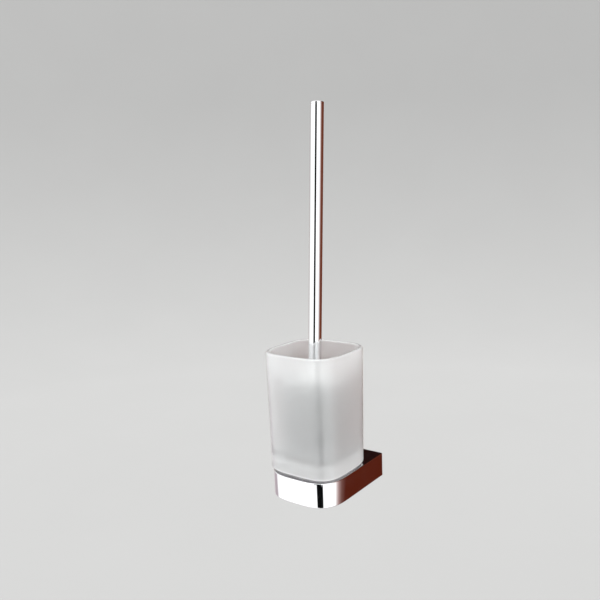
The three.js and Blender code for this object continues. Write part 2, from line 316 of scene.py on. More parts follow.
def solid_of_turn(name, corners, columns, loop=False, exponent=None, place=None, steps=6):
    """A profile of rounded corners turned about +Z. A loop's last corner repeats its first. Any
    other profile starts and ends on the axis, and skin() closes it there without those points."""
    on_axis = 1e-7
    profile = rounded_profile(corners, steps)
    profile = profile[:-1] if loop else profile[profile[:, 0] > on_axis]
    return skin(name, turned_rings(profile, columns, exponent), loop, place)


def sharpen(piece, degrees):
    """Keeps the edges sharp where the surface turns by more than this."""
    piece.data.set_sharp_from_angle(angle=math.radians(degrees))


# ---------------------------------------------------------------- shader nodes


def feed(tree, socket, value):
    """Links a socket to another node's output, or else sets it to a number or a colour."""
    if isinstance(value, bpy.types.NodeSocket):
        tree.links.new(value, socket)
    elif isinstance(value, tuple):
        socket.default_value = (*value, 1)
    else:
        socket.default_value = value


def fade(tree, value, start, end, low=0.0, high=1.0):
    """Runs from low to high as the value goes from start to end, and stays there past them."""
    node = tree.nodes.new("ShaderNodeMapRange")
    for name, number in zip(("From Min", "From Max", "To Min", "To Max"), (start, end, low, high)):
        node.inputs[name].default_value = number
    feed(tree, node.inputs["Value"], value)
    return node.outputs["Result"]


def ramp(tree, share, stops, interpolation="LINEAR"):
    """Runs through the colours of (share, colour) stops, with shares from 0 to 1."""
    node = tree.nodes.new("ShaderNodeValToRGB")
    node.color_ramp.interpolation = interpolation
    while len(node.color_ramp.elements) < len(stops):
        node.color_ramp.elements.new(0.5)
    for element, (position, colour) in zip(node.color_ramp.elements, stops):
        element.position = position
        element.color = (*colour, 1)
    feed(tree, node.inputs["Fac"], share)
    return node.outputs["Color"]


# ---------------------------------------------------------------- finishes

NOISE_MIDDLE = (0.3, 0.7)  # the part of a noise's range that is used


def finish_of(name, **inputs):
    """A material of one Principled shader with these numbers and colours on its sockets."""
    finish = bpy.data.materials.new(name)
    finish.use_nodes = True
    shader = finish.node_tree.nodes["Principled BSDF"]
    for socket, value in inputs.items():
        shader.inputs[socket.replace("_", " ")].default_value = value
    return finish


def set_input(finish, socket, source):
    """Links a node's output to one of the shader's sockets."""
    feed(finish.node_tree, finish.node_tree.nodes["Principled BSDF"].inputs[socket], source)


def noise(finish, scale, detail=3.0, stretch=(1, 1, 1)):
    """A noise over Object coordinates, finer as scale goes up. Returns its value socket."""
    tree = finish.node_tree
    coordinates = tree.nodes.new("ShaderNodeTexCoord")
    mapping = tree.nodes.new("ShaderNodeMapping")
    mapping.inputs["Scale"].default_value = stretch
    texture = tree.nodes.new("ShaderNodeTexNoise")
    texture.inputs["Scale"].default_value = scale
    texture.inputs["Detail"].default_value = detail
    feed(tree, mapping.inputs["Vector"], coordinates.outputs["Object"])
    feed(tree, texture.inputs["Vector"], mapping.outputs["Vector"])
    return texture.outputs["Fac"]


def vary(finish, socket, low, high, source):
    """Spreads a noise's middle range over low to high on one of the shader's sockets."""
    set_input(finish, socket, fade(finish.node_tree, source, *NOISE_MIDDLE, low, high))


def tint(finish, low, high, source):
    """Runs the base colour between two colours by a noise."""
    stops = list(zip(NOISE_MIDDLE, (low, high)))
    set_input(finish, "Base Color", ramp(finish.node_tree, source, stops))


def bump(finish, height, source):
    """Raises the surface by up to height metres where a noise is high."""
    tree = finish.node_tree
    raised = tree.nodes.new("ShaderNodeBump")
    raised.inputs["Distance"].default_value = height
    feed(tree, raised.inputs["Height"], source)
    set_input(finish, "Normal", raised.outputs["Normal"])


def by_height(finish, socket, low, high, stops):
    """Sets one of the shader's sockets by height: (height, value) stops between low and high."""
    tree = finish.node_tree
    coordinates = tree.nodes.new("ShaderNodeTexCoord")
    parts = tree.nodes.new("ShaderNodeSeparateXYZ")
    feed(tree, parts.inputs[0], coordinates.outputs["Object"])
    share = fade(tree, parts.outputs["Z"], low, high)
    greys = [((height - low) / (high - low), (value,) * 3) for height, value in stops]
    set_input(finish, socket, ramp(tree, share, greys, "EASE"))


def shade(colour, share):
    """A colour times a share, with no channel over 1."""
    return tuple(min(1.0, c * share) for c in colour)


def chrome_finish(name, colour):
    """Mirror chrome with faint wipe marks in its gloss and the slight wave of polished metal."""
    finish = finish_of(name, Metallic=1.0, Roughness=0.04)
    tint(finish, shade(colour, 0.97), colour, noise(finish, 60))
    vary(finish, "Roughness", 0.025, 0.07, noise(finish, 90, 5, (1, 1, 0.3)))
    bump(finish, 0.01 * MM, noise(finish, 25, 1))
    return finish


def frosted_finish(colour):
    """Acid-frosted glass: a satin skin with a very fine grain. How much light it lets through is set
    by height to paint light and shade: least round its lower edge, a painted highlight line there;
    less where it's solid, under the cavity, and near the rim; most on the wall between, which
    looks darker there as a painted shade of the brush head inside."""
    finish = finish_of(
        "acid_frosted_glass", IOR=1.5, Coat_Weight=1.0, Coat_Roughness=0.2, Coat_IOR=1.5)
    # Shares of light let through, by height: a painted highlight along the lower edge and a painted
    # shade on the wall over the brush head.
    edge, solid, lower_wall, wall, rim = 0.3, 0.71, 0.85, 0.86, 0.70
    by_height(finish, "Transmission Weight", CUP_LOW.z, CUP_HIGH.z, [
        (CUP_BASE + 0.7 * MM, edge), (CUP_BASE + 3 * MM, solid), (CUP_BASE + 13.5 * MM, solid),
        (CUP_BASE + 20 * MM, lower_wall), (CUP_BASE + 34 * MM, wall),
        (CUP_HIGH.z - 38 * MM, wall), (CUP_HIGH.z - 6 * MM, rim)])
    tint(finish, shade(colour, 0.985), colour, noise(finish, 45, 4))
    vary(finish, "Roughness", 0.36, 0.44, noise(finish, 220, 3))
    bump(finish, 0.012 * MM, noise(finish, 3500, 2))
    return finish


def seat_finish():
    """Translucent moulded plastic."""
    finish = finish_of("translucent_plastic", IOR=1.46, Transmission_Weight=0.8)
    tint(finish, (0.66, 0.645, 0.67), (0.74, 0.725, 0.745), noise(finish, 120, 4))
    vary(finish, "Roughness", 0.1, 0.18, noise(finish, 400, 3))
    bump(finish, 0.01 * MM, noise(finish, 1500, 2))
    return finish


def moulded_finish():
    """White moulded plastic with a light sink and grain."""
    finish = finish_of("white_moulded_plastic", IOR=1.46)
    tint(finish, (0.74, 0.74, 0.725), (0.8, 0.8, 0.785), noise(finish, 150, 4))
    vary(finish, "Roughness", 0.35, 0.5, noise(finish, 500, 3))
    bump(finish, 0.02 * MM, noise(finish, 900, 2))
    return finish


def nylon_finish(colour):
    """White nylon filament, slightly uneven in tone."""
    finish = finish_of("nylon_bristle", IOR=1.53)
    tint(finish, shade(colour, 0.93), colour, noise(finish, 400, 3))
    vary(finish, "Roughness", 0.4, 0.6, noise(finish, 900, 3))
    return finish


def steel_finish(name):
    """Brushed stainless steel: fine lines along X in its gloss and its surface."""
    finish = finish_of(name, Metallic=1.0)
    lines = noise(finish, 900, 4, (0.03, 1, 1))
    tint(finish, (0.5, 0.505, 0.51), (0.62, 0.625, 0.63), lines)
    vary(finish, "Roughness", 0.22, 0.38, lines)
    bump(finish, 0.01 * MM, lines)
    return finish


def satin_steel_finish():
    """Plated steel with a satin surface and a fine even grain."""
    finish = finish_of("satin_plated_steel", Metallic=1.0)
    tint(finish, (0.6, 0.605, 0.62), (0.68, 0.685, 0.7), noise(finish, 150, 4))
    vary(finish, "Roughness", 0.42, 0.56, noise(finish, 600, 3))
    bump(finish, 0.008 * MM, noise(finish, 1500, 2))
    return finish


def brass_finish():
    """Turned brass, with fine rings along its length."""
    finish = finish_of("turned_brass", Metallic=1.0)
    rings = noise(finish, 1200, 2, (0.05, 0.05, 1))
    tint(finish, (0.60, 0.45, 0.20), (0.74, 0.58, 0.29), noise(finish, 200, 3))
    vary(finish, "Roughness", 0.2, 0.35, rings)
    bump(finish, 0.01 * MM, rings)
    return finish


def dress(piece, finish, body, slot, *nodes):
    """Gives a piece its finish and its body, and hides the CAD nodes that it stands for. The slot is
    not used.
    """
    piece.data.materials.clear()
    piece.data.materials.append(finish)
    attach(piece, body)
    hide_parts(*nodes)


def paint_node(node, finish):
    """Gives its finish to a CAD node that is shown as it is."""
    mesh = frame["nodes"][node].data
    mesh.materials.clear()
    mesh.materials.append(finish)


# ---------------------------------------------------------------- the holder


def holder_outline(exponent, inset, corner=1.0 * MM):
    """The holder's plan as a closed curve, moved inwards by inset along its normals: a straight
    side, the front half of a superellipse, the other side, and the back along the wall with two
    small quarter rounds. Straight stretches are evenly divided."""
    side_points, front_points, corner_points, back_points = 44, 141, 9, 40
    half = HOLDER_HIGH.x
    shoulder = HOLDER_LOW.y + half
    side = np.linspace(WALL_Y - corner, shoulder, side_points)[:-1]
    angle = np.linspace(0, -math.pi, front_points)[:-1]
    front = circle(angle, half * superellipse(angle, exponent))
    slope = np.stack([
        np.sign(front[:, 0]) * np.abs(front[:, 0] / half) ** (exponent - 1),
        np.sign(front[:, 1]) * np.abs(front[:, 1] / half) ** (exponent - 1)], axis=1)
    slope /= np.linalg.norm(slope, axis=1)[:, None]
    front[:, 1] += shoulder
    left = circle(np.linspace(math.pi, math.pi / 2, corner_points)[:-1])
    back = np.linspace(-half + corner, half - corner, back_points)
    right = np.stack([-left[::-1, 0], left[::-1, 1]], axis=1)
    middle = np.array([half - corner, WALL_Y - corner])
    points = np.vstack([
        np.stack([np.full(len(side), half), side], axis=1),
        front,
        np.stack([np.full(len(side), -half), side[::-1]], axis=1),
        left * corner + middle * (-1, 1),
        np.stack([back, np.full(len(back), WALL_Y)], axis=1),
        (right * corner + middle)[:-1]])
    normals = np.vstack([
        np.tile((1.0, 0.0), (len(side), 1)),
        slope,
        np.tile((-1.0, 0.0), (len(side), 1)),
        left,
        np.tile((0.0, 1.0), (len(back), 1)),
        right[:-1]])
    return points - normals * inset


def around_cup(angle, half, exponent, height):
    """A circle round the cup's axis, or a soft square where an exponent is given."""
    radius = half * (1 if exponent is None else superellipse(angle, exponent))
    return level(circle(angle, radius) + CUP_AXIS, height)


def fillet_steps(radius, steps=8):
    """A quarter round as (distance in from the side, distance from the top or the floor)."""
    angle = np.linspace(0, math.pi / 2, steps + 1)
    return list(zip(radius * (1 - np.cos(angle)), radius * (1 - np.sin(angle))))


def make_holder(settings, cup):
    """The casting's rings run in one loop: out over the underside, up the side, in over the
    deck, down the well, in over its floor and down the drain."""
    low, high = HOLDER_LOW.z, HOLDER_HIGH.z
    outline = holder_outline(settings.exponent, 0)
    angle = np.arctan2(outline[:, 1] - CUP_AXIS[1], outline[:, 0] - CUP_AXIS[0])
    well, drain, edge = settings.well_half, settings.drain, settings.edge
    well_floor = low + settings.floor
    lip, hold, curve = 0.5 * MM, 0.2 * MM, 2.0 * MM
    outside = [(edge + hold, low)]
    outside += [(inset, low + up) for inset, up in reversed(fillet_steps(edge))]
    outside += [(inset, high - down) for inset, down in fillet_steps(edge)]
    outside += [(edge + hold, high)]
    rings = [level(holder_outline(settings.exponent, inset), height) for inset, height in outside]
    inside = [(well + lip + hold, high)]
    inside += [(well + inset, high - down) for inset, down in reversed(fillet_steps(lip))]
    inside += [(well - inset, well_floor + up) for inset, up in fillet_steps(curve)]
    rings += [around_cup(angle, half, cup.exponent, height) for half, height in inside]
    hole = [(drain + lip, well_floor), (drain, well_floor - lip), (drain, low + lip),
            (drain + lip, low)]
    rings += [around_cup(angle, radius, None, height) for radius, height in hole]
    casting = skin("holder_casting", np.array(rings), loop=True)
    return cut_by(casting, pocket_cutter(), grub_hole_cutter())


def rounded_box_rings(low, high, corner):
    """Rings along Y of a box whose four long edges are quarter rounds: each point of a circle of
    that radius, moved out to its own quarter's corner."""
    half_step = math.pi / CUTTER_COLUMNS
    turn = circle(round_angles(CUTTER_COLUMNS) + half_step)
    reach = np.array([high[0] - low[0], high[2] - low[2]]) / 2 - corner
    centre = np.array([high[0] + low[0], high[2] + low[2]]) / 2
    x, z = (np.sign(turn) * reach + turn * corner + centre).T
    return np.array([np.column_stack([x, np.full(len(x), y), z]) for y in (low[1], high[1])])


def pocket_cutter():
    """The space that the wall plate takes up, a little larger all round, open to the wall."""
    low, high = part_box("wall_plate")
    side, above, ahead, past, corner = 1.0 * MM, 1.2 * MM, 2.0 * MM, 5.0 * MM, 2.5 * MM
    start = (low.x - side, low.y - ahead, low.z - above)
    end = (high.x + side, WALL_Y + past, high.z + above)
    return skin("pocket_cutter", rounded_box_rings(start, end, corner))


def grub_hole_cutter():
    """A round hole a little wider than the grub screw, from below up into the pocket."""
    clearance, below, above = 0.1 * MM, 5 * MM, 3 * MM
    radius = GRUB_RADIUS + clearance
    profile = np.array([[radius, GRUB_LOW.z - below], [radius, GRUB_HIGH.z + above]])
    return skin("grub_hole_cutter", turned_rings(profile, CUTTER_COLUMNS), place=GRUB_PLACE)


def cut_by(piece, *cutters):
    """Cuts the closed cutters out of a piece for good, and keeps its new edges sharp."""
    for cutter in cutters:
        boolean = piece.modifiers.new("cut", "BOOLEAN")
        boolean.operation = "DIFFERENCE"
        boolean.solver = "EXACT"
        boolean.object = cutter
    view = bpy.context.evaluated_depsgraph_get()
    view.update()
    cut = bpy.data.meshes.new_from_object(piece.evaluated_get(view))
    piece.modifiers.clear()
    piece.data = cut
    for cutter in cutters:
        bpy.data.objects.remove(cutter)
    cut.shade_smooth()
    sharpen(piece, degrees=32)
    return piece


def make_seat(settings, cup):
    """A lip between holder and cup, and a skirt down into the well."""
    clearance, thickness = 0.3 * MM, 1.8 * MM
    crease, under_round, soft, top_round = 0.2 * MM, 0.35 * MM, 0.4 * MM, 0.7 * MM
    skirt = settings.well_half - clearance
    inner = skirt - thickness
    lip = SEAT_HIGH.x
    under = HOLDER_HIGH.z
    middle = (SEAT_LOW.z + under) / 2
    corners = [
        (inner, middle, 0), (inner, SEAT_LOW.z, soft), (skirt, SEAT_LOW.z, soft),
        (skirt, under, crease), (lip, under, under_round), (lip, SEAT_HIGH.z, top_round),
        (inner, SEAT_HIGH.z, soft), (inner, middle, 0)]
    return solid_of_turn(
        "seat_ring", corners, SEAT_COLUMNS, loop=True, exponent=cup.exponent, place=CUP_PLACE)


# ---------------------------------------------------------------- the cup


def make_cup(cup):
    """The cup's half-width grows evenly from base to rim, outside and inside. The rim is very
    nearly a full round, and the foot, base edge and cavity corner have rounds of their own."""
    rim_half = CUP_HIGH.x
    floor = CUP_BASE + cup.floor
    foot_round, inner_round, nearly = 1.2 * MM, 0.5 * MM, 0.98
    rim_round = cup.wall / 2 * nearly
    corners = [
        (0, CUP_LOW.z, 0), (cup.foot_half, CUP_LOW.z, foot_round),
        (cup.foot_half, CUP_BASE, inner_round), (cup.base_half, CUP_BASE, cup.base_edge),
        (rim_half, CUP_HIGH.z, rim_round), (rim_half - cup.wall, CUP_HIGH.z, rim_round),
        (cup.base_half - cup.wall, floor, cup.floor_curve), (0, floor, 0)]
    return solid_of_turn(
        "frosted_cup", corners, CUP_COLUMNS, exponent=cup.exponent, place=CUP_PLACE, steps=14)


# ---------------------------------------------------------------- the brush


def make_handle():
    """The tube, its end cap and the bush inside its lower end."""
    start, _, bore, radius = brush_span("handle_tube")
    cap_start, end, _, _ = brush_span("handle_cap")
    _, bush_end, bush_bore, bush_radius = brush_span("handle_bush")
    cap_height, seam, fit = 2 * MM, 0.02 * MM, 0.1 * MM
    crease, fine, small, mouth, soft = 0.1 * MM, 0.12 * MM, 0.3 * MM, 0.4 * MM, 0.5 * MM
    joint = end - cap_height
    tube_end = joint - seam
    middle = (start + joint) / 2
    tube = solid_of_turn("handle_tube_skin", [
        (bore, middle, 0), (bore, start, fine), (radius, start, small),
        (radius, tube_end, fine), (bore, tube_end, fine), (bore, middle, 0)],
        HANDLE_COLUMNS, loop=True, place=BRUSH_PLACE)
    spigot = bore - fit
    cap = solid_of_turn("handle_cap_skin", [
        (0, cap_start, 0), (spigot, cap_start, soft), (spigot, joint, crease),
        (radius, joint, fine), (radius, end, soft), (0, end, 0)],
        HANDLE_COLUMNS, place=BRUSH_PLACE)
    bush_middle = (start + bush_end) / 2
    bush = solid_of_turn("handle_bush_skin", [
        (bush_bore, bush_middle, 0), (bush_bore, start, mouth),
        (bush_radius, start, small), (bush_radius, bush_end, small),
        (bush_bore, bush_end, small), (bush_bore, bush_middle, 0)],
        BUSH_COLUMNS, loop=True, place=BRUSH_PLACE)
    return tube, cap, bush


def make_stud():
    """A threaded rod: its radius falls and rises by a triangle wave of one pitch."""
    start, end, _, radius = brush_span("head_stud")
    pitch, depth, chamfer, chamfer_height = 1.0 * MM, 0.5 * MM, 0.6 * MM, 0.2 * MM
    height = np.arange(start, end, pitch / 2)[1:-1]
    thread = radius - depth * (np.arange(len(height)) % 2)
    profile = np.vstack([
        [[radius - depth - chamfer, start], [radius - depth, start + chamfer_height]],
        np.column_stack([thread, height]),
        [[radius - depth, end - chamfer_height], [radius - depth - chamfer, end]]])
    stud = skin("head_stud_skin", turned_rings(profile, STUD_COLUMNS), place=BRUSH_PLACE)
    sharpen(stud, degrees=40)
    return stud


def core_neck():
    """The radius of the core's neck, and where along the brush it starts."""
    near = 0.01 * MM
    along, radius = along_brush("brush_core")
    neck = radius[along > along.max() - near].max()
    on_neck = np.abs(radius - neck) < near
    return neck, along[on_neck & (along > along.mean())].min()


def make_core():
    """The moulded core: a round-ended bar, a shoulder, a neck and the hole for the stud."""
    start, end, _, radius = brush_span("brush_core")
    stud_start, _, _, stud = brush_span("head_stud")
    neck, neck_start = core_neck()
    clearance, past_stud, shoulder = 0.15 * MM, 0.2 * MM, 3 * MM
    foot_round, shoulder_round, neck_round = 5 * MM, 1.5 * MM, 0.8 * MM
    end_round, hole_round = 0.6 * MM, 0.3 * MM
    hole = stud + clearance
    hole_end = stud_start - past_stud
    return solid_of_turn("brush_core_skin", [
        (0, start, 0), (radius, start, foot_round), (radius, neck_start - shoulder, shoulder_round),
        (neck, neck_start, neck_round), (neck, end, end_round), (hole, end, hole_round),
        (hole, hole_end, hole_round), (0, hole_end, 0)],
        CORE_COLUMNS, place=BRUSH_PLACE)


def sideways(direction):
    """Two directions square to each direction and to each other: its cross product with +Z, or
    with +X where it is steep, and its cross product with that."""
    steep = 0.8
    helper = np.where(np.abs(direction[:, 2:]) < steep, (0.0, 0.0, 1.0), (1.0, 0.0, 0.0))
    across = np.cross(direction, helper)
    across /= np.linalg.norm(across, axis=1)[:, None]
    return across, np.cross(direction, across)


def filaments(name, roots, tips, bend, radius, seed):
    """Thin square rods, one from each root to its tip. The middle line is root + (tip - root) t
    + bend * t^2 (1 - t), and the rod is drawn in a little at its tip."""
    draw = np.random.default_rng(seed)
    share = np.array([0.0, 0.35, 0.7, 0.985, 1.0])
    width = np.array([1.0, 1.0, 1.0, 0.9, 0.45])
    run = tips - roots
    t = share[None, :, None]
    line = roots[:, None] + run[:, None] * t + bend[:, None] * (t ** 2 * (1 - t))
    across, upward = sideways(run / np.linalg.norm(run, axis=1)[:, None])
    angle = draw.uniform(0, 2 * math.pi, len(roots))[:, None] + np.arange(4) * math.pi / 2
    corner = across[:, None] * np.cos(angle)[..., None] + upward[:, None] * np.sin(angle)[..., None]
    size = radius * width[None, :, None, None]
    points = line[:, :, None] + corner[:, None] * size
    sections = len(share)
    ends = np.arange(4) + np.array([[0], [4 * (sections - 1)]])
    one = np.vstack([grid_quads(sections, 4, False), ends])
    first = np.arange(len(roots)) * sections * 4
    faces = (one[None] + first[:, None, None]).reshape(-1, 4)
    world = points.reshape(-1, 3) @ BRUSH_TURN.T + BRUSH_FOOT
    return new_piece(name, world, faces.tolist())


def tuft_filaments(hole, direction, length, count, draw):
    """The roots, tips and bends of every filament of some tufts: roots scatter in a disc round
    each hole, and tips in a disc that is wider, because the tuft opens as it leaves the core."""
    root_disc, tip_disc, sway, uneven = 1.3 * MM, 4.6 * MM, 1.6 * MM, 0.03
    across, upward = sideways(direction)
    many = (len(hole), count)
    angle = draw.uniform(0, 2 * math.pi, many)
    spread = np.sqrt(draw.uniform(0, 1, many))
    offset = (across[:, None] * np.cos(angle)[..., None]
              + upward[:, None] * np.sin(angle)[..., None]) * spread[..., None]
    reach = length[:, None, None] * (1 - uneven * draw.uniform(0, 1, many))[..., None]
    roots = hole[:, None] + offset * root_disc
    tips = hole[:, None] + direction[:, None] * reach + offset * tip_disc
    bend = draw.normal(0, sway, (*many, 3))
    return roots.reshape(-1, 3), tips.reshape(-1, 3), bend.reshape(-1, 3)


def make_row(number, settings):
    """One row of tufts, level round the core. Rows are turned by half a tuft, one after another."""
    node = f"bristle_row_{number}"
    low, high, _, head = brush_span(node)
    _, _, _, core = brush_span("brush_core")
    sunk, inside, overlap = 1.0 * MM, 0.3 * MM, 0.4 * MM
    draw = np.random.default_rng(settings.seed + number)
    turn = (np.arange(settings.tufts) + number % 2 / 2) * 2 * math.pi / settings.tufts
    direction = level(circle(turn), 0.0)
    hole = direction * (core - sunk) + [0, 0, (low + high) / 2]
    length = np.full(len(turn), head - core + (sunk - inside))
    roots, tips, bend = tuft_filaments(hole, direction, length, settings.filaments, draw)
    tips[:, 2] = np.clip(tips[:, 2], low - overlap, high + overlap)
    reach = np.hypot(tips[:, 0], tips[:, 1])
    tips[:, :2] *= np.minimum(1, (head - inside) / reach)[:, None]
    return filaments(f"{node}_tufts", roots, tips, bend, settings.filament, settings.seed + number)


def make_tip(settings):
    """The tufts at the end of the core, in rings that point down and out. A tip at angle a from
    straight down lies at radius R sin(a) and at a depth that falls off as cos(a)^0.6."""
    _, top, _, _ = brush_span("bristle_tip")
    _, _, _, head = brush_span("bristle_row_1")
    start, _, _, core = brush_span("brush_core")
    tufts_at = {8: 3, 30: 8, 52: 12, 74: 14}  # how many tufts lean out at each angle, in degrees
    inside, lowest, sunk, dome, least = 4 * MM, 1.2 * MM, 1 * MM, 3 * MM, 0.3 * MM
    calm = 0.5  # how far these filaments bend, against those of the rows
    draw = np.random.default_rng(settings.seed)
    lean = np.radians(np.repeat(list(tufts_at), list(tufts_at.values())))
    out = circle(np.concatenate([round_angles(count) for count in tufts_at.values()]))
    ends = np.column_stack([
        out * ((head - inside) * np.sin(lean))[:, None],
        top - (top - lowest) * np.cos(lean) ** 0.6])
    holes = np.column_stack([
        out * ((core - sunk) * np.sin(lean))[:, None],
        start + lowest + dome * (1 - np.cos(lean))])
    run = ends - holes
    length = np.linalg.norm(run, axis=1)
    roots, tips, bend = tuft_filaments(
        holes, run / length[:, None], length, settings.filaments, draw)
    tips[:, 2] = np.clip(tips[:, 2], least, top)
    return filaments(
        "bristle_tip_tufts", roots, tips, bend * calm, settings.filament, settings.seed)


# ---------------------------------------------------------------- the fixings


def make_grub():
    """The grub screw: a hexagonal socket from below, a chamfer, and a thread of one pitch. A
    hexagon's radius at angle a is its half-flat / cos(a - the middle of the nearest flat)."""
    low, high = GRUB_LOW.z, GRUB_HIGH.z
    pitch, depth, chamfer, half_flat = 0.8 * MM, 0.35 * MM, 0.4 * MM, 1.25 * MM
    socket_end, socket_wall, bevel, bevel_height = 2 * MM, 1.9 * MM, 0.1 * MM, 0.05 * MM
    cone = 0.6
    angle = round_angles(GRUB_COLUMNS)
    hexagon = half_flat / np.cos((angle % (math.pi / 3)) - math.pi / 6)
    height = np.arange(low + chamfer, high - chamfer, pitch / 2)
    thread = GRUB_RADIUS - depth * (np.arange(len(height)) % 2)
    levels = [
        (cone * hexagon, low + socket_end), (hexagon, low + socket_wall),
        (hexagon, low + bevel_height), (hexagon + bevel, low), (GRUB_RADIUS - chamfer, low),
        *zip(thread, height), (GRUB_RADIUS - chamfer, high)]
    rings = np.array([level(circle(angle, radius), z) for radius, z in levels])
    grub = skin("grub_screw_skin", rings, place=GRUB_PLACE)
    sharpen(grub, degrees=35)
    return grub


# ---------------------------------------------------------------- the studio


def make_backdrop(settings):
    """A bowl: a flat disc that turns up by a quarter round into a wall all the way round."""
    floor = HOLDER_LOW.z - settings.floor_drop
    middle, flat, curve, wall, curve_points = 0.4, 2.2, 1.4, 12.0, 25
    angle = np.linspace(-math.pi / 2, 0, curve_points)
    profile = np.vstack([
        [[middle, floor]],
        np.column_stack([flat + curve * np.cos(angle), floor + curve * (1 + np.sin(angle))]),
        [[flat + curve, floor + curve + wall]]])
    rings = turned_rings(profile, BACKDROP_COLUMNS)
    rows, columns = rings.shape[:2]
    points = np.vstack([rings.reshape(-1, 3), [[0, 0, floor]]])
    here = np.arange(columns)
    fan = np.stack([np.full(columns, rows * columns), here, (here + 1) % columns], axis=1)
    bowl = new_piece(
        "studio_backdrop", points, grid_quads(rows, columns, False).tolist() + fan.tolist())
    finish = finish_of("backdrop_paint", Roughness=0.9)
    tint(finish, shade(settings.backdrop, 0.985), tuple(settings.backdrop), noise(finish, 3))
    bowl.data.materials.append(finish)
    bowl.visible_diffuse = False
    bowl.visible_glossy = False
    bowl.visible_transmission = False
    bowl.visible_shadow = False
    return bowl


def maths(tree, operation, first, second):
    """A Math node's result on two values, each a number or another node's output."""
    node = tree.nodes.new("ShaderNodeMath")
    node.operation = operation
    feed(tree, node.inputs[0], first)
    feed(tree, node.inputs[1], second)
    return node.outputs[0]


def blend(tree, share, first, second):
    """The first colour where the share is 0, the second where it's 1."""
    node = tree.nodes.new("ShaderNodeMixRGB")
    feed(tree, node.inputs["Fac"], share)
    feed(tree, node.inputs["Color1"], first)
    feed(tree, node.inputs["Color2"], second)
    return node.outputs["Color"]


def ring(tree, place, stops):
    """Colours round the horizon, from (bearing in degrees, colour) stops."""
    return ramp(tree, place, [((bearing + 180) / 360, colour) for bearing, colour in stops])


def background(tree, colour):
    """A background of one colour, or of the colours that another node works out."""
    node = tree.nodes.new("ShaderNodeBackground")
    feed(tree, node.inputs["Color"], colour)
    return node.outputs["Background"]


def choose(tree, ray, others, these):
    """One background for a kind of ray, and another for all other rays."""
    node = tree.nodes.new("ShaderNodeMixShader")
    feed(tree, node.inputs["Fac"], ray)
    feed(tree, node.inputs[1], others)
    feed(tree, node.inputs[2], these)
    return node.outputs["Shader"]


def mirrored_light(tree, direction):
    """What glossy rays meet: soft boxes to the left and right with a dark gap between them, a
    dim warm back and a broad light overhead. Its two rings meet a little below the horizon."""
    x, y, z = direction
    # The bearing is 0 towards the room, +90 degrees towards +X and 180 towards the wall.
    bearing = maths(tree, "ARCTAN2", x, maths(tree, "MULTIPLY", y, -1.0))
    place = maths(tree, "DIVIDE", maths(tree, "ADD", bearing, math.pi), 2 * math.pi)
    white, black, lilac = (1.35, 1.35, 1.36), (0.004, 0.004, 0.004), (0.52, 0.44, 0.48)
    warm, ruddy, deep = (0.172, 0.045, 0.024), (0.1, 0.014, 0.0055), (0.013, 0.002, 0.0015)
    overhead = (2.2, 2.2, 2.2)
    below = ring(tree, place, [
        (-180, ruddy), (-137, ruddy), (-128, (0.8, 0.75, 0.76)), (-108, lilac), (-88, lilac),
        (-76, white), (13, white), (14, black), (42, black), (43, white), (107, white),
        (112, (0.85, 0.72, 0.7)), (121, (0.44, 0.29, 0.275)), (131, (0.2, 0.09, 0.076)),
        (143, ruddy), (180, ruddy)])
    above = ring(tree, place, [
        (-180, warm), (-130, warm), (-114, (0.6, 0.57, 0.56)), (-90, (0.9, 0.9, 0.9)),
        (-66, white), (2, white), (3, black), (33, black), (34, white), (80, white),
        (92, (0.92, 0.9, 0.9)), (102, (0.75, 0.6, 0.58)), (110, (0.42, 0.26, 0.23)), (122, warm),
        (180, warm)])
    sides = blend(tree, fade(tree, z, -0.34, -0.27), below, above)
    # The back is darker higher up: the deck of the holder mirrors it there.
    behind = maths(tree, "MULTIPLY", fade(tree, y, 0.45, 0.6), fade(tree, z, 0.1, 0.25))
    sides = blend(tree, behind, sides, deep)
    return blend(tree, fade(tree, z, 0.72, 0.85), sides, overhead)


def soft_glow(tree, direction):
    """What all other rays meet: a smooth glow, soft from the front and from +X, brighter from
    behind and brightest overhead."""
    x, y, z = direction
    front, back, side, overhead = ((share,) * 3 for share in (1.36, 2.1, 1.5, 2.5))
    glow = blend(tree, fade(tree, y, 0.0, 0.7), front, back)
    glow = blend(tree, fade(tree, x, 0.3, 0.9), glow, side)
    return blend(tree, fade(tree, z, 0.5, 0.9), glow, overhead)


def make_world():
    """The camera sees a plain pale room, glossy rays a ring of soft boxes, and other rays a glow."""
    world = bpy.data.worlds.new("studio_light")
    bpy.context.scene.world = world
    world.use_nodes = True
    tree = world.node_tree
    tree.nodes.clear()
    coordinates = tree.nodes.new("ShaderNodeTexCoord")
    parts = tree.nodes.new("ShaderNodeSeparateXYZ")
    feed(tree, parts.inputs[0], coordinates.outputs["Generated"])
    path = tree.nodes.new("ShaderNodeLightPath").outputs
    lights = background(tree, mirrored_light(tree, parts.outputs))
    glow = background(tree, soft_glow(tree, parts.outputs))
    room = background(tree, (0.8, 0.8, 0.79))
    light = choose(tree, path["Is Glossy Ray"], glow, lights)
    output = tree.nodes.new("ShaderNodeOutputWorld")
    feed(tree, output.inputs["Surface"], choose(tree, path["Is Camera Ray"], light, room))


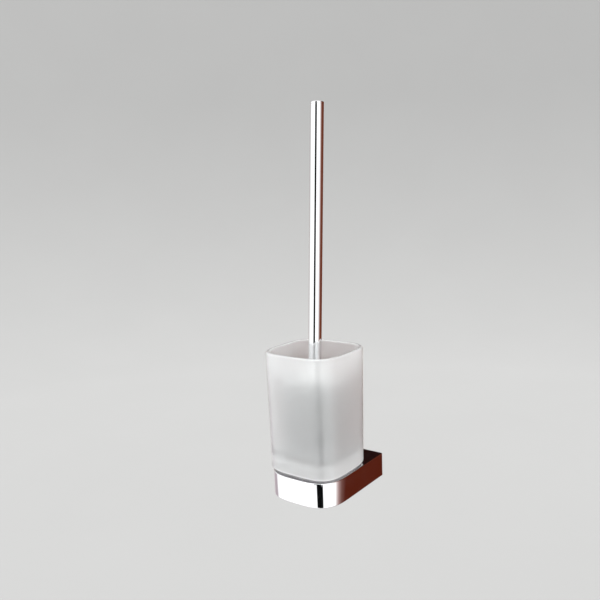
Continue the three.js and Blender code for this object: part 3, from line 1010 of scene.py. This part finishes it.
def make_camera(settings):
    """The camera stands out in the room to the right, above the cup, and looks a little down."""
    aside, out, above_holder = 0.38543, -0.60289, 0.30193
    place = Vector((aside, out, HOLDER_LOW.z + above_holder))
    azimuth, down, roll = (math.radians(degrees) for degrees in (36.71, 8.67, -2.1))
    forward = Vector((-math.sin(azimuth) * math.cos(down),
                      math.cos(azimuth) * math.cos(down), -math.sin(down)))
    right = Vector((math.cos(azimuth), math.sin(azimuth), 0))
    upward = right.cross(forward)
    tilted_right = math.cos(roll) * right + math.sin(roll) * upward
    tilted_up = math.cos(roll) * upward - math.sin(roll) * right
    lens = bpy.data.cameras.new("studio_camera")
    lens.sensor_width = 36
    lens.lens = settings.lens
    lens.clip_start = 0.01
    camera = bpy.data.objects.new("studio_camera", lens)
    turn = Matrix((tilted_right, tilted_up, -forward)).transposed()
    camera.matrix_world = Matrix.Translation(place) @ turn.to_4x4()
    bpy.context.scene.collection.objects.link(camera)
    bpy.context.scene.camera = camera


# ---------------------------------------------------------------- operators, panel and run


class BRUSHSET_OT_holder(bpy.types.Operator):
    """Make the chrome holder with its well, pocket and drain"""

    bl_idname = "brushset.holder"
    bl_label = "Holder"

    def execute(self, context):
        settings = context.scene.brushset_holder
        casting = make_holder(settings, context.scene.brushset_cup)
        chrome = chrome_finish("holder_chrome", tuple(settings.chrome))
        dress(casting, chrome, "holder", "chrome", "holder_body")
        return {"FINISHED"}


class BRUSHSET_OT_seat(bpy.types.Operator):
    """Make the translucent seat between the holder and the cup"""

    bl_idname = "brushset.seat"
    bl_label = "Seat"

    def execute(self, context):
        seat = make_seat(context.scene.brushset_holder, context.scene.brushset_cup)
        dress(seat, seat_finish(), "holder", "clear_plastic", "cup_seat")
        return {"FINISHED"}


class BRUSHSET_OT_cup(bpy.types.Operator):
    """Make the frosted glass cup"""

    bl_idname = "brushset.cup"
    bl_label = "Cup"

    def execute(self, context):
        settings = context.scene.brushset_cup
        glass = frosted_finish(tuple(settings.glass))
        dress(make_cup(settings), glass, "cup", "frosted_glass", "glass_cup")
        return {"FINISHED"}


class BRUSHSET_OT_handle(bpy.types.Operator):
    """Make the handle's tube, end cap and threaded bush"""

    bl_idname = "brushset.handle"
    bl_label = "Handle"

    def execute(self, context):
        tube, cap, bush = make_handle()
        chrome = chrome_finish("handle_chrome", tuple(context.scene.brushset_holder.chrome))
        dress(tube, chrome, "brush_handle", "chrome", "handle_tube")
        dress(cap, chrome, "brush_handle", "chrome", "handle_cap")
        dress(bush, brass_finish(), "brush_handle", "brass", "handle_bush")
        return {"FINISHED"}


class BRUSHSET_OT_head(bpy.types.Operator):
    """Make the moulded core and the threaded stud of the brush head"""

    bl_idname = "brushset.head"
    bl_label = "Head core"

    def execute(self, context):
        dress(make_core(), moulded_finish(), "brush_head", "white_plastic", "brush_core")
        dress(make_stud(), steel_finish("stud_steel"), "brush_head", "stainless", "head_stud")
        return {"FINISHED"}


class BRUSHSET_OT_bristles(bpy.types.Operator):
    """Make the rows of tufts and the tufts under the core"""

    bl_idname = "brushset.bristles"
    bl_label = "Bristles"

    def execute(self, context):
        settings = context.scene.brushset_brush
        nylon = nylon_finish(tuple(settings.nylon))
        rows = sorted(n for n in frame["nodes"] if n.startswith("bristle_row_"))
        if not rows:
            raise RuntimeError("the frame has no bristle rows")
        for number in range(1, len(rows) + 1):
            tufts = make_row(number, settings)
            dress(tufts, nylon, "brush_head", "bristle", f"bristle_row_{number}")
        dress(make_tip(settings), nylon, "brush_head", "bristle", "bristle_tip")
        return {"FINISHED"}


class BRUSHSET_OT_fixings(bpy.types.Operator):
    """Make the grub screw and finish the wall plate, its screws and washers"""

    bl_idname = "brushset.fixings"
    bl_label = "Fixings"

    def execute(self, context):
        steel = steel_finish("grub_screw_steel")
        dress(make_grub(), steel, "grub_screw", "stainless", "grub_screw")
        satin = satin_steel_finish()
        for node in ("wall_plate", "wall_screw_left", "wall_screw_right",
                     "screw_washer_left", "screw_washer_right"):
            paint_node(node, satin)
        return {"FINISHED"}


class BRUSHSET_OT_stage(bpy.types.Operator):
    """Set up the backdrop, the light and the camera"""

    bl_idname = "brushset.stage"
    bl_label = "Studio"

    def execute(self, context):
        settings = context.scene.brushset_stage
        make_backdrop(settings)
        make_world()
        make_camera(settings)
        context.scene.view_settings.view_transform = "Standard"
        return {"FINISHED"}


PIECE_OPERATORS = (
    BRUSHSET_OT_holder, BRUSHSET_OT_seat, BRUSHSET_OT_cup, BRUSHSET_OT_handle,
    BRUSHSET_OT_head, BRUSHSET_OT_bristles, BRUSHSET_OT_fixings, BRUSHSET_OT_stage)


class BRUSHSET_PT_panel(bpy.types.Panel):
    """Sizes, colours and the button for each piece"""

    bl_idname = "BRUSHSET_PT_panel"
    bl_label = "Toilet brush set"
    bl_space_type = "VIEW_3D"
    bl_region_type = "UI"
    bl_category = "Brush Set"

    def draw(self, context):
        column = self.layout.column()
        for name in SETTINGS:
            group = getattr(context.scene, name)
            box = column.box()
            for prop in group.bl_rna.properties:
                if prop.identifier not in {"rna_type", "name"}:
                    box.prop(group, prop.identifier)
        for operator in PIECE_OPERATORS:
            column.operator(operator.bl_idname)


SETTINGS = {
    "brushset_holder": HolderSettings,
    "brushset_cup": CupSettings,
    "brushset_brush": BrushSettings,
    "brushset_stage": StageSettings,
}


def register():
    for name, group in SETTINGS.items():
        bpy.utils.register_class(group)
        setattr(bpy.types.Scene, name, bpy.props.PointerProperty(type=group))
    for owned in (*PIECE_OPERATORS, BRUSHSET_PT_panel):
        bpy.utils.register_class(owned)


def unregister():
    for owned in (BRUSHSET_PT_panel, *reversed(PIECE_OPERATORS)):
        bpy.utils.unregister_class(owned)
    for name, group in SETTINGS.items():
        delattr(bpy.types.Scene, name)
        bpy.utils.unregister_class(group)


def main():
    register()
    for operator in PIECE_OPERATORS:
        group, call = operator.bl_idname.split(".")
        getattr(getattr(bpy.ops, group), call)()


if __name__ == "__main__":
    main()
